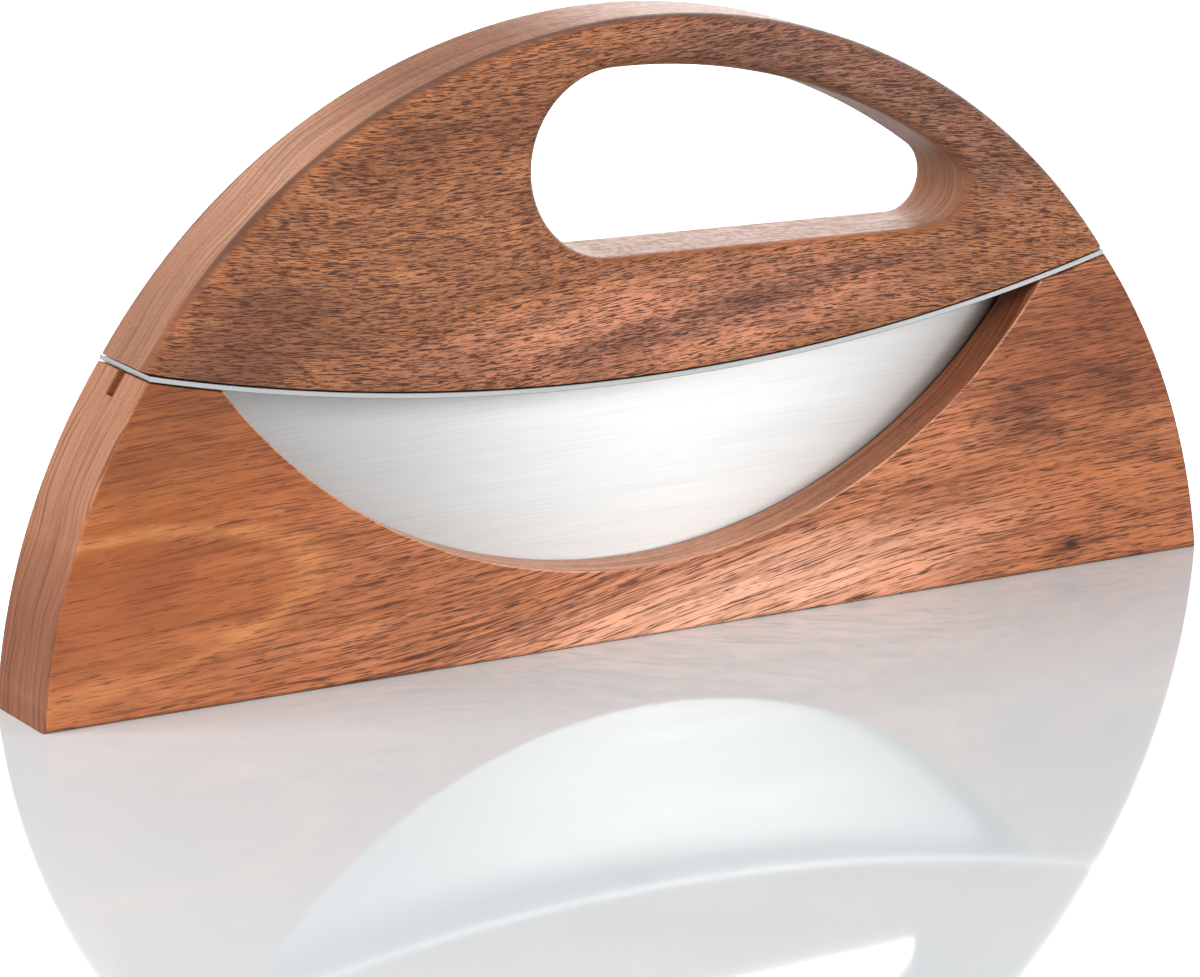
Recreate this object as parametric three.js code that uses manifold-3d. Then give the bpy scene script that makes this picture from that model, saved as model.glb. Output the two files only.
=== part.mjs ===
// A mezzaluna: a rocking herb knife with a wooden handle, resting in a wooden stand.
// Millimetres. +X runs along the blade, -Y faces the viewer, +Z is up.
// The origin is the middle of the stand's underside.

import * as THREE from 'three';
import { mergeVertices } from 'three/addons/utils/BufferGeometryUtils.js';
import Module from 'manifold-3d';

// Wood thickness, front face to back face
const THICKNESS = 24;

// Seat: the shallow arc along which the knife rests in the stand
const SEAT_LENGTH = 230;
const SEAT_HEIGHT = 55; // lowest point of the stand's top
const SEAT_RADIUS = 470;
const SEAT_GAP = 0.3; // between the stand and the bolster plate

// Stand
const STAND_LENGTH = 280; // along the table
const STAND_SIDE_RADIUS = 140.5;
const STAND_ROUND = 1; // on its outer edges
const STAND_FLOOR = 6; // wood left under the slot
const WINDOW_RADIUS = 121;

// Blade
const BLADE_THICKNESS = 2;
const BLADE_EDGE_RADIUS = 145;
const BLADE_END_INSET = 3; // of each blade end from the seat's end
const BLADE_SIDE_GAP = 0.6; // to each wall of the slot
const EDGE_GAP = 3; // between the cutting edge and the slot's floor
const EDGE_COVER = 6.4; // how far the window's rim hides the cutting edge
const EDGE_THICKNESS = 0.3;
const GRIND_WIDTH = 7;

// Weld tabs on the blade's back, which locate it in the bolster plate
const TAB_LENGTH = 24;
const TAB_SPACING = 90;
const TAB_GAP = 0.3;

// Bolster plate
const PLATE_THICKNESS = 1.1;
const PLATE_END_INSET = 0.6; // of each plate end from the seat's end

// Handle
const HANDLE_GAP = 0.4; // shadow gap between the plate and the handle
const HANDLE_ROUND = 3.4; // on the arch and around the hand hole
const RAIL_HEIGHT = 10.3; // wood over the hand hole's wide end

// Hand hole: a wide round end, a narrow round end, a straight lower edge and an arched upper edge
const WIDE_END_WALL = 89.2; // wood from the handle's left end to the hole
const WIDE_END_RADIUS = 19.9;
const WIDE_END_WEB = 25.3; // wood under the hole there
const NARROW_END_WALL = 35.1; // wood from the hole to the handle's right end
const NARROW_END_RADIUS = 8.1;
const NARROW_END_WEB = 17.6;
const HOLE_TOP_RADIUS = 137;

// Countersunk wood screws that hold the plate under the handle
const SCREW_LENGTH = 16;
const SCREW_DIAMETER = 3.5;
const SCREW_POINT = 4; // length of the tapered tip
const SCREW_GAP = 0.3;
const SCREW_END_INSET = 15; // of the outer screws from the seat's ends
const HEAD_DIAMETER = 7;
const HEAD_RIM = 0.3;
const RECESS_LENGTH = 3.4;
const RECESS_WIDTH = 0.9;
const RECESS_DEPTH = 1;

// Facets
const ARC_SEGMENTS = 18;
const ROUND_SEGMENTS = 3;
const DISC_SEGMENTS = 144;
const SCREW_SEGMENTS = 16;

const MERGE_DISTANCE = 1e-4; // within which corners count as one

// How far cutting tools run past what they cut
const OVERCUT = 20;

// The most of the rail that each of its round edges may take
const ROUND_SHARE = 0.45;

const wasm = await Module();
wasm.setup();

function finish(name, color, roughness, metalness) {
  return new THREE.MeshStandardMaterial({ name, color, roughness, metalness });
}

const MATERIALS = {
  stand: finish('stand_acacia', 0xa5643f, 0.5, 0),
  handle: finish('handle_acacia', 0x8c563a, 0.55, 0),
  blade: finish('brushed_steel', 0xcfd0d1, 0.32, 1),
  plate: finish('bolster_steel', 0xdcdddd, 0.25, 1),
  screw: finish('screw_steel', 0xb9babc, 0.35, 1),
};

function solid(geometry) {
  const bare = geometry.clone();
  bare.deleteAttribute('normal');
  bare.deleteAttribute('uv');
  const merged = mergeVertices(bare, MERGE_DISTANCE);
  const vertProperties = new Float32Array(merged.attributes.position.array);
  const triVerts = new Uint32Array(merged.index.array);
  return new wasm.Manifold(new wasm.Mesh({ numProp: 3, vertProperties, triVerts }));
}

function geometryOf(manifold) {
  const { vertProperties, triVerts } = manifold.getMesh();
  const geometry = new THREE.BufferGeometry();
  geometry.setAttribute('position', new THREE.BufferAttribute(vertProperties, 3));
  geometry.setIndex(new THREE.BufferAttribute(triVerts, 1));
  geometry.computeVertexNormals();
  return geometry;
}

// A shape drawn in X and Z, given its depth along Y about the middle plane, with round edges if asked.
function slab(shape, depth, round = 0) {
  const geometry = new THREE.ExtrudeGeometry(shape, {
    depth: depth - 2 * round,
    curveSegments: ARC_SEGMENTS,
    bevelEnabled: round > 0,
    bevelThickness: round,
    bevelSize: round,
    bevelOffset: -round,
    bevelSegments: ROUND_SEGMENTS,
  });
  geometry.translate(0, 0, round - depth / 2);
  geometry.rotateX(Math.PI / 2);
  return solid(geometry);
}

// A round disc standing on edge, its axis along Y.
function disc(radius, depth, z) {
  const geometry = new THREE.CylinderGeometry(radius, radius, depth, DISC_SEGMENTS);
  geometry.translate(0, 0, z);
  return solid(geometry);
}

function block(x, y, z, centre) {
  const geometry = new THREE.BoxGeometry(x, y, z);
  geometry.translate(...centre);
  return solid(geometry);
}

// Everything along the seat is an arc about one centre far above, so each gap along it stays even.
const SEAT_CENTRE_Z = SEAT_HEIGHT + SEAT_RADIUS;
const SEAT_HALF = SEAT_LENGTH / 2;
const PLATE_UNDER = SEAT_GAP;
const PLATE_TOP = PLATE_UNDER + PLATE_THICKNESS;
const HANDLE_UNDER = PLATE_TOP + HANDLE_GAP;

function seatZ(x, lift) {
  return SEAT_CENTRE_Z - Math.sqrt((SEAT_RADIUS - lift) ** 2 - x ** 2);
}

function addSeatArc(path, lift, fromX, toX) {
  const angle = (x) => Math.atan2(seatZ(x, lift) - SEAT_CENTRE_Z, x);
  path.absarc(0, SEAT_CENTRE_Z, SEAT_RADIUS - lift, angle(fromX), angle(toX), toX < fromX);
}

// All that lies below the seat line raised by lift, out to a half length of halfX.
function belowSeat(lift, halfX) {
  const shape = new THREE.Shape();
  addSeatArc(shape, lift, halfX, -halfX);
  shape.lineTo(-halfX, -OVERCUT);
  shape.lineTo(halfX, -OVERCUT);
  return shape;
}

function aboveSeat(lift, halfX) {
  const top = seatZ(halfX, lift) + OVERCUT;
  const shape = new THREE.Shape();
  addSeatArc(shape, lift, -halfX, halfX);
  shape.lineTo(halfX, top);
  shape.lineTo(-halfX, top);
  return shape;
}

// The blade's cutting edge and the slot's floor share one centre.
const EDGE_Z = STAND_FLOOR + EDGE_GAP;
const EDGE_CENTRE_Z = EDGE_Z + BLADE_EDGE_RADIUS;
const WINDOW_FLOOR = EDGE_Z + EDGE_COVER;
const CUT_DEPTH = THICKNESS + 2 * OVERCUT;

// The outline's two sides are arcs through the table corners and the ends of the seat.
function sideCentre() {
  const bottom = new THREE.Vector2(STAND_LENGTH / 2, 0);
  const top = new THREE.Vector2(SEAT_HALF, seatZ(SEAT_HALF, 0));
  const chord = top.clone().sub(bottom);
  const inward = new THREE.Vector2(-chord.y, chord.x).normalize();
  const reach = Math.sqrt(STAND_SIDE_RADIUS ** 2 - chord.lengthSq() / 4);
  return bottom.lerp(top, 0.5).addScaledVector(inward, reach);
}

function makeStand() {
  const centre = sideCentre();
  const topZ = seatZ(SEAT_HALF, 0) + 2 * STAND_ROUND;
  const low = Math.asin(-centre.y / STAND_SIDE_RADIUS);
  const high = Math.asin((topZ - centre.y) / STAND_SIDE_RADIUS);
  const outline = new THREE.Shape();
  outline.absarc(centre.x, centre.y, STAND_SIDE_RADIUS, low, high, false);
  outline.absarc(-centre.x, centre.y, STAND_SIDE_RADIUS, Math.PI - high, Math.PI - low, false);
  const slotWidth = BLADE_THICKNESS + 2 * BLADE_SIDE_GAP;
  return slab(outline, THICKNESS, STAND_ROUND)
    .subtract(slab(aboveSeat(0, SEAT_HALF + OVERCUT), CUT_DEPTH))
    .subtract(disc(WINDOW_RADIUS, CUT_DEPTH, WINDOW_FLOOR + WINDOW_RADIUS))
    .subtract(disc(BLADE_EDGE_RADIUS + EDGE_GAP, slotWidth, EDGE_CENTRE_Z));
}

// Hand hole ends: circles whose lowest points stand one web above the handle's underside.
function holeEnd(x, radius, web) {
  return { x, z: seatZ(x, HANDLE_UNDER) + web + radius, radius };
}
const WIDE_END_X = WIDE_END_WALL + WIDE_END_RADIUS - SEAT_HALF;
const NARROW_END_X = SEAT_HALF - NARROW_END_WALL - NARROW_END_RADIUS;
const WIDE_END = holeEnd(WIDE_END_X, WIDE_END_RADIUS, WIDE_END_WEB);
const NARROW_END = holeEnd(NARROW_END_X, NARROW_END_RADIUS, NARROW_END_WEB);

// The arch runs through the handle's two lower ends and over the hole's wide end.
const ARCH_TOP = WIDE_END.z + WIDE_END.radius + RAIL_HEIGHT;
const ARCH_RISE = ARCH_TOP - seatZ(SEAT_HALF, HANDLE_UNDER);
const ARCH_RADIUS = (SEAT_HALF ** 2 + ARCH_RISE ** 2) / (2 * ARCH_RISE);
const ARCH_CENTRE_Z = ARCH_TOP - ARCH_RADIUS;

// Centre of the hole's upper arc, which touches both end circles on their outer side.
function holeTopCentre() {
  const reachWide = HOLE_TOP_RADIUS - WIDE_END.radius;
  const reachNarrow = HOLE_TOP_RADIUS - NARROW_END.radius;
  const span = new THREE.Vector2(NARROW_END.x - WIDE_END.x, NARROW_END.z - WIDE_END.z);
  const apart = span.length();
  const along = (apart ** 2 + reachWide ** 2 - reachNarrow ** 2) / (2 * apart);
  const below = Math.sqrt(reachWide ** 2 - along ** 2);
  const ahead = span.normalize();
  return {
    x: WIDE_END.x + ahead.x * along + ahead.y * below,
    z: WIDE_END.z + ahead.y * along - ahead.x * below,
  };
}

function handHole() {
  const top = holeTopCentre();
  const toWide = Math.atan2(WIDE_END.z - top.z, WIDE_END.x - top.x);
  const toNarrow = Math.atan2(NARROW_END.z - top.z, NARROW_END.x - top.x);
  const dx = NARROW_END.x - WIDE_END.x;
  const dz = NARROW_END.z - WIDE_END.z;
  const lean = Math.acos((WIDE_END.radius - NARROW_END.radius) / Math.hypot(dx, dz));
  const down = Math.atan2(dz, dx) - lean;
  const path = new THREE.Path();
  path.absarc(WIDE_END.x, WIDE_END.z, WIDE_END.radius, toWide, down + 2 * Math.PI, false);
  path.absarc(NARROW_END.x, NARROW_END.z, NARROW_END.radius, down, toNarrow, false);
  path.absarc(top.x, top.z, HOLE_TOP_RADIUS, toNarrow, toWide, false);
  return path;
}

// The round edge is limited by the rail where the hole comes nearest to the arch.
function handleRound() {
  const archCentre = new THREE.Vector2(0, ARCH_CENTRE_Z);
  const reaches = handHole().getPoints(ARC_SEGMENTS).map((point) => point.distanceTo(archCentre));
  const thinnest = ARCH_RADIUS - Math.max(...reaches);
  return Math.min(HANDLE_ROUND, ROUND_SHARE * thinnest);
}

function makeHandle() {
  const round = handleRound();
  const chordZ = SEAT_HEIGHT - 2 * round;
  const start = Math.asin((chordZ - ARCH_CENTRE_Z) / ARCH_RADIUS);
  const outline = new THREE.Shape();
  outline.absarc(0, ARCH_CENTRE_Z, ARCH_RADIUS, start, Math.PI - start, false);
  outline.holes.push(handHole());
  const underside = slab(belowSeat(HANDLE_UNDER, SEAT_HALF + OVERCUT), CUT_DEPTH);
  return cutForScrews(slab(outline, THICKNESS, round).subtract(underside));
}

const TAB_PLACES = [-TAB_SPACING / 2, TAB_SPACING / 2];

function makePlate() {
  const half = SEAT_HALF - PLATE_END_INSET;
  const outline = new THREE.Shape();
  addSeatArc(outline, PLATE_UNDER, -half, half);
  addSeatArc(outline, PLATE_TOP, half, -half);
  let plate = slab(outline, THICKNESS);
  const slotLength = TAB_LENGTH + 2 * TAB_GAP;
  const slotWidth = BLADE_THICKNESS + 2 * TAB_GAP;
  for (const x of TAB_PLACES) {
    plate = plate.subtract(block(slotLength, slotWidth, OVERCUT, [x, 0, seatZ(x, PLATE_UNDER)]));
  }
  return cutForScrews(plate);
}

// The blade's back stays just under the plate, and its weld tabs rise level with the plate's top.
function makeBlade() {
  const half = SEAT_HALF - BLADE_END_INSET;
  const backLift = PLATE_UNDER - TAB_GAP;
  const back = slab(belowSeat(backLift, half), BLADE_THICKNESS);
  const underPlateTop = slab(belowSeat(PLATE_TOP, half), BLADE_THICKNESS);
  let outline = back;
  for (const x of TAB_PLACES) {
    const tab = block(TAB_LENGTH, BLADE_THICKNESS, OVERCUT, [x, 0, seatZ(x, PLATE_UNDER)]);
    outline = outline.add(tab.intersect(underPlateTop));
  }
  const flat = BLADE_THICKNESS / 2;
  const fine = EDGE_THICKNESS / 2;
  const shoulder = BLADE_EDGE_RADIUS - GRIND_WIDTH;
  const profile = [
    new THREE.Vector2(0, -flat),
    new THREE.Vector2(shoulder, -flat),
    new THREE.Vector2(BLADE_EDGE_RADIUS, -fine),
    new THREE.Vector2(BLADE_EDGE_RADIUS, fine),
    new THREE.Vector2(shoulder, flat),
    new THREE.Vector2(0, flat),
  ];
  const ground = new THREE.LatheGeometry(profile, DISC_SEGMENTS);
  ground.translate(0, 0, EDGE_CENTRE_Z);
  return outline.intersect(solid(ground));
}

// A countersunk screw standing on its head along +Z, or the space it needs when grown by a gap.
function screwGeometry(grow) {
  const head = HEAD_DIAMETER / 2;
  const shank = SCREW_DIAMETER / 2;
  const neck = HEAD_RIM + head - shank;
  const profile = [
    new THREE.Vector2(0, -grow),
    new THREE.Vector2(head + grow, -grow),
    new THREE.Vector2(head + grow, HEAD_RIM),
    new THREE.Vector2(shank + grow, neck),
    new THREE.Vector2(shank + grow, SCREW_LENGTH - SCREW_POINT),
    new THREE.Vector2(0, SCREW_LENGTH + 2 * grow),
  ];
  return new THREE.LatheGeometry(profile, SCREW_SEGMENTS).rotateX(Math.PI / 2);
}

// Screws stand square to the plate in pairs, midway between the blade's faces and the plate's edges.
const SCREW_Y = (THICKNESS + BLADE_THICKNESS) / 4;
const SCREW_X = SEAT_HALF - SCREW_END_INSET;
const SCREW_PLACES = [];
for (const [along, x] of [['left', -SCREW_X], ['middle', 0], ['right', SCREW_X]]) {
  for (const [side, y] of [['front', -SCREW_Y], ['back', SCREW_Y]]) {
    SCREW_PLACES.push({ name: `plate_screw_${along}_${side}`, x, y });
  }
}

function placeScrew(object, { x, y }) {
  object.position.set(x, y, seatZ(x, PLATE_UNDER));
  object.rotation.y = -Math.asin(x / (SEAT_RADIUS - PLATE_UNDER));
}

function cutForScrews(body) {
  let cut = body;
  for (const place of SCREW_PLACES) {
    const holder = new THREE.Object3D();
    placeScrew(holder, place);
    holder.updateMatrix();
    cut = cut.subtract(solid(screwGeometry(SCREW_GAP).applyMatrix4(holder.matrix)));
  }
  return cut;
}

function makeScrew() {
  const middle = [0, 0, 0];
  const across = block(RECESS_LENGTH, RECESS_WIDTH, 2 * RECESS_DEPTH, middle);
  const along = block(RECESS_WIDTH, RECESS_LENGTH, 2 * RECESS_DEPTH, middle);
  return solid(screwGeometry(0)).subtract(across).subtract(along);
}

function piece(name, manifold, material) {
  const mesh = new THREE.Mesh(geometryOf(manifold), material);
  mesh.name = name;
  return mesh;
}

const knife = new THREE.Group();
knife.name = 'knife';
knife.add(piece('handle', makeHandle(), MATERIALS.handle));
knife.add(piece('bolster_plate', makePlate(), MATERIALS.plate));
knife.add(piece('blade', makeBlade(), MATERIALS.blade));
for (const place of SCREW_PLACES) {
  const screw = piece(place.name, makeScrew(), MATERIALS.screw);
  placeScrew(screw, place);
  knife.add(screw);
}

const mezzaluna = new THREE.Group();
mezzaluna.name = 'mezzaluna';
mezzaluna.add(piece('stand', makeStand(), MATERIALS.stand));
mezzaluna.add(knife);

export default mezzaluna;
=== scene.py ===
"""Looks for a mezzaluna in its wooden stand: finer pieces, their finishes, a table and soft light."""

import math
from collections import namedtuple
from functools import partial

import bmesh
import bpy
from mathutils import Matrix, Vector


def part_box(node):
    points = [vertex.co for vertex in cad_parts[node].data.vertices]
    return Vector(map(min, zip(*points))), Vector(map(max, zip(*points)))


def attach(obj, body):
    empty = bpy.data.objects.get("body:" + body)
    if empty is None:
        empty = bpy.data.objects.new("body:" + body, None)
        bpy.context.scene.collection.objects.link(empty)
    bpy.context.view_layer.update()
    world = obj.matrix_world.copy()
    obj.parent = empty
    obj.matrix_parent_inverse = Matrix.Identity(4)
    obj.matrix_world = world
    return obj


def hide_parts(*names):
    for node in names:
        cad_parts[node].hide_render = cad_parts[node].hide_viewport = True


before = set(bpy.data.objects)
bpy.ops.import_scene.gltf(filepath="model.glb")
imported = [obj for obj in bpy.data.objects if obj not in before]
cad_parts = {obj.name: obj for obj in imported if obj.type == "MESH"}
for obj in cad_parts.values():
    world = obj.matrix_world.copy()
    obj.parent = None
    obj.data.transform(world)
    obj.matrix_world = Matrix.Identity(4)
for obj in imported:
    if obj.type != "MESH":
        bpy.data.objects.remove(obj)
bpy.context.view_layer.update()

MM = 0.001

# The photograph's camera
IMAGE_WIDTH_PX = 1200
FOCAL_LENGTH_PX = 5970.4
SENSOR_WIDTH_MM = 36
CAMERA_YAW = math.radians(29.2)
CAMERA_PITCH = math.radians(14.4)
CAMERA_ROLL = math.radians(-0.6)
CAMERA_DISTANCE = 1262.3 * MM
CAMERA_TARGET = Vector((-5.1 * MM, 0, 30.2 * MM))

# Wood
HALF_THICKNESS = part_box("stand")[1].y
HALF_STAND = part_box("stand")[1].x
SEAT_HALF = 115 * MM
SEAT_HEIGHT = 55 * MM
SEAT_RADIUS = 470 * MM
STAND_SIDE_RADIUS = 140.5 * MM
STAND_ROUND = 1 * MM
WINDOW_RADIUS = 121 * MM
WINDOW_FLOOR = 15.4 * MM
WINDOW_EASE = 0.35 * MM
HANDLE_UNDER = 1.8 * MM
HANDLE_ROUND = 3.4 * MM
HANDLE_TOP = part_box("handle")[1].z

# Hand hole
WIDE_END_WALL = 89.2 * MM
WIDE_END_RADIUS = 19.9 * MM
WIDE_END_WEB = 25.3 * MM
NARROW_END_WALL = 35.1 * MM
NARROW_END_RADIUS = 8.1 * MM
NARROW_END_WEB = 17.6 * MM
HOLE_TOP_RADIUS = 137 * MM

# Steel
PLATE_UNDER = 0.3 * MM
PLATE_TOP = 1.4 * MM
PLATE_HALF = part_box("bolster_plate")[1].x
PLATE_EASE = 0.12 * MM
BLADE_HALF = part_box("blade")[1].x
BLADE_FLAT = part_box("blade")[1].y
BLADE_FINE = 0.15 * MM
BLADE_EDGE_RADIUS = 145 * MM
BLADE_CENTRE_Z = 154 * MM
BLADE_HUB_RADIUS = 90 * MM
GRIND_WIDTH = 7 * MM
RING_SPARE = math.radians(4)
TAB_PLACES = (-45 * MM, 45 * MM)
TAB_HALF = 12 * MM
TAB_GAP = 0.3 * MM
SLOT_RADIUS = 148 * MM
SLOT_WIDTH = 3.2 * MM

# Wood screws under the plate
SCREW_LENGTH = 16 * MM
SCREW_POINT = 4 * MM
SHANK_RADIUS = 1.75 * MM
HEAD_RADIUS = 3.5 * MM
HEAD_RIM = 0.3 * MM
SCREW_GAP = 0.3 * MM
SCREW_X = 100 * MM
SCREW_Y = 6.5 * MM
RECESS_LENGTH = 3.4 * MM
RECESS_WIDTH = 0.9 * MM
RECESS_DEPTH = 1 * MM

# How finely the curves are drawn
ARCH_STEPS = 150
SEAT_STEPS = 90
SIDE_STEPS = 40
WINDOW_STEPS = 120
HOLE_END_STEPS = 44
HOLE_TOP_STEPS = 60
ROUND_STEPS = 8
EASE_STEPS = 3
DISC_STEPS = 320
SCREW_STEPS = 48
OVERCUT = 20 * MM
WELD = 1e-7
SHARP_ANGLE = math.radians(32)

# Table and light
TABLE_RADIUS = 1.4
TABLE_FADE_START = 0.5
TABLE_FADE_END = 1.1
TABLE_STEPS = 128
TABLE_WHITE = (0.61, 0.652, 0.668, 1)
TABLE_ROUGHNESS = 0.05
TABLE_EDGE_GLOW = 0.6
ROOM_FILL = 0.36

Circle = namedtuple("Circle", "x z radius")
Arc = namedtuple("Arc", "circle start stop steps")

SEAT_CENTRE_Z = SEAT_HEIGHT + SEAT_RADIUS


def seat_circle(lift):
    return Circle(0, SEAT_CENTRE_Z, SEAT_RADIUS - lift)


def seat_z(x, lift):
    return SEAT_CENTRE_Z - math.sqrt((SEAT_RADIUS - lift) ** 2 - x ** 2)


def grown(circle, by):
    return circle._replace(radius=circle.radius + by)


def angle_to(circle, point):
    return math.atan2(point[1] - circle.z, point[0] - circle.x)


def meet(first, second, right):
    """Where two circles cross, on the right or on the left."""
    dx = second.x - first.x
    dz = second.z - first.z
    apart = math.hypot(dx, dz)
    along = (apart ** 2 + first.radius ** 2 - second.radius ** 2) / (2 * apart)
    across = math.sqrt(first.radius ** 2 - along ** 2)
    crossings = []
    for side in (-1, 1):
        x = first.x + (dx * along - side * dz * across) / apart
        z = first.z + (dz * along + side * dx * across) / apart
        crossings.append((x, z))
    return max(crossings) if right else min(crossings)


def arc_between(circle, start, stop, steps):
    return Arc(circle, angle_to(circle, start), angle_to(circle, stop), steps)


def draw_loop(bm, y, course):
    """Draws a closed outline at one depth from arcs and corner points, and returns its edges."""
    before = set(bm.verts)
    first = None
    last = None
    for part in course:
        if isinstance(part, Arc):
            circle = part.circle
            x = circle.x + circle.radius * math.cos(part.start)
            z = circle.z + circle.radius * math.sin(part.start)
        else:
            x, z = part
        corner = bm.verts.new((x, y, z))
        if last is None:
            first = corner
        else:
            bm.edges.new((last, corner))
        last = corner
        if isinstance(part, Arc):
            spun = bmesh.ops.spin(
                bm, geom=[corner], cent=(circle.x, y, circle.z), axis=(0, -1, 0),
                angle=part.stop - part.start, steps=part.steps)
            last = spun["geom_last"][0]
    bm.edges.new((last, first))
    drawn = [vert for vert in bm.verts if vert not in before]
    bmesh.ops.remove_doubles(bm, verts=drawn, dist=WELD)
    kept = [vert for vert in drawn if vert.is_valid]
    return list({edge for vert in kept for edge in vert.link_edges})


def loft(bm, loops):
    """Joins a row of alike outlines by walls."""
    for near, far in zip(loops, loops[1:]):
        bmesh.ops.bridge_loops(bm, edges=near + far)


def close_ends(bm, loops):
    """Fills the first and the last set of outlines with flat faces."""
    for edges in loops:
        bmesh.ops.triangle_fill(bm, use_beauty=True, edges=edges)


def new_piece(name, bm):
    bmesh.ops.recalc_face_normals(bm, faces=bm.faces)
    mesh = bpy.data.meshes.new(name)
    bm.to_mesh(mesh)
    bm.free()
    piece = bpy.data.objects.new(name, mesh)
    bpy.context.scene.collection.objects.link(piece)
    return piece


def carve(piece, tool, operation):
    """Joins or cuts a piece with a tool, which is then put away."""
    cut = piece.modifiers.new("carve", "BOOLEAN")
    cut.operation = operation
    cut.solver = "EXACT"
    cut.object = tool
    evaluated = piece.evaluated_get(bpy.context.evaluated_depsgraph_get())
    carved = bpy.data.meshes.new_from_object(evaluated)
    piece.modifiers.remove(cut)
    piece.data = carved
    carved.name = piece.name
    bpy.data.objects.remove(tool)


def dress(piece, node, body, material):
    """Shades a finished piece, gives it its finish and sets it in the place of its solid."""
    piece.data.materials.clear()
    piece.data.materials.append(material)
    piece.data.shade_smooth()
    piece.data.set_sharp_from_angle(angle=SHARP_ANGLE)
    even = piece.modifiers.new("even_shading", "WEIGHTED_NORMAL")
    even.mode = "FACE_AREA"
    even.keep_sharp = True
    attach(piece, body)
    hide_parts(node)


def round_profile(radius, steps):
    """Depth and inset of each outline from the front face to the back face, over a round edge."""
    front = []
    for step in range(steps + 1):
        turn = math.pi / 2 * step / steps
        front.append((radius * (1 - math.sin(turn)), radius * (1 - math.cos(turn))))
    front.reverse()
    near = [(-HALF_THICKNESS + depth, inset) for depth, inset in front]
    far = [(-y, inset) for y, inset in reversed(near)]
    return near + far


# Stand

def stand_course(edge_inset, window_inset):
    """The stand's outline, drawn in on its outer edges and eased along the seat and the window."""
    corner = Vector((HALF_STAND, 0))
    shoulder = Vector((SEAT_HALF, seat_z(SEAT_HALF, 0)))
    chord = shoulder - corner
    inward = Vector((-chord.y, chord.x)).normalized()
    reach = math.sqrt(STAND_SIDE_RADIUS ** 2 - chord.length_squared / 4)
    centre = (corner + shoulder) / 2 + inward * reach
    side_right = Circle(centre.x, centre.y, STAND_SIDE_RADIUS - edge_inset)
    side_left = side_right._replace(x=-centre.x)
    seat = seat_circle(-window_inset)
    window = Circle(0, WINDOW_FLOOR + WINDOW_RADIUS, WINDOW_RADIUS + window_inset)
    foot = centre.x + math.sqrt(side_right.radius ** 2 - (edge_inset - centre.y) ** 2)
    seat_right = meet(side_right, seat, True)
    seat_left = meet(side_left, seat, False)
    window_right = meet(seat, window, True)
    window_left = meet(seat, window, False)
    return [
        arc_between(side_right, (foot, edge_inset), seat_right, SIDE_STEPS),
        arc_between(seat, seat_right, window_right, SIDE_STEPS // 4),
        arc_between(window, window_right, window_left, WINDOW_STEPS),
        arc_between(seat, window_left, seat_left, SIDE_STEPS // 4),
        arc_between(side_left, seat_left, (-foot, edge_inset), SIDE_STEPS),
    ]


def make_stand(material):
    bm = bmesh.new()
    loops = []
    for y, inset in round_profile(STAND_ROUND, EASE_STEPS):
        loops.append(draw_loop(bm, y, stand_course(inset, inset / STAND_ROUND * WINDOW_EASE)))
    loft(bm, loops)
    close_ends(bm, (loops[0], loops[-1]))
    stand = new_piece("oiled_stand", bm)
    bm = bmesh.new()
    upright = Matrix.Translation((0, 0, BLADE_CENTRE_Z)) @ Matrix.Rotation(math.pi / 2, 4, "X")
    bmesh.ops.create_cone(
        bm, cap_ends=True, segments=DISC_STEPS, radius1=SLOT_RADIUS, radius2=SLOT_RADIUS,
        depth=SLOT_WIDTH, matrix=upright)
    carve(stand, new_piece("slot_cutter", bm), "DIFFERENCE")
    dress(stand, "stand", "stand", material)


# Handle

def hole_end(x, radius, web):
    return Circle(x, seat_z(x, HANDLE_UNDER) + web + radius, radius)


def arch_circle():
    rise = HANDLE_TOP - seat_z(SEAT_HALF, HANDLE_UNDER)
    radius = (SEAT_HALF ** 2 + rise ** 2) / (2 * rise)
    return Circle(0, HANDLE_TOP - radius, radius)


def handle_course(inset):
    arch = grown(arch_circle(), -inset)
    seat = seat_circle(HANDLE_UNDER)
    right = meet(arch, seat, True)
    left = meet(arch, seat, False)
    return [arc_between(arch, right, left, ARCH_STEPS), arc_between(seat, left, right, SEAT_STEPS)]


def hole_course(growth):
    """The hand hole: two round ends, an arched upper edge that touches both and a straight lower edge."""
    wide = hole_end(WIDE_END_WALL + WIDE_END_RADIUS - SEAT_HALF, WIDE_END_RADIUS, WIDE_END_WEB)
    narrow_x = SEAT_HALF - NARROW_END_WALL - NARROW_END_RADIUS
    narrow = hole_end(narrow_x, NARROW_END_RADIUS, NARROW_END_WEB)
    reach_wide = Circle(wide.x, wide.z, HOLE_TOP_RADIUS - wide.radius)
    reach_narrow = Circle(narrow.x, narrow.z, HOLE_TOP_RADIUS - narrow.radius)
    crossings = (meet(reach_wide, reach_narrow, False), meet(reach_wide, reach_narrow, True))
    low_x, low_z = min(crossings, key=lambda crossing: crossing[1])
    top = Circle(low_x, low_z, HOLE_TOP_RADIUS)
    to_wide = angle_to(top, (wide.x, wide.z))
    to_narrow = angle_to(top, (narrow.x, narrow.z))
    span = math.hypot(narrow.x - wide.x, narrow.z - wide.z)
    lean = math.acos((wide.radius - narrow.radius) / span)
    down = angle_to(wide, (narrow.x, narrow.z)) - lean
    return [
        Arc(grown(wide, growth), to_wide, down + 2 * math.pi, HOLE_END_STEPS),
        Arc(grown(narrow, growth), down, to_narrow, HOLE_END_STEPS),
        Arc(grown(top, growth), to_narrow, to_wide, HOLE_TOP_STEPS),
    ]


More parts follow.
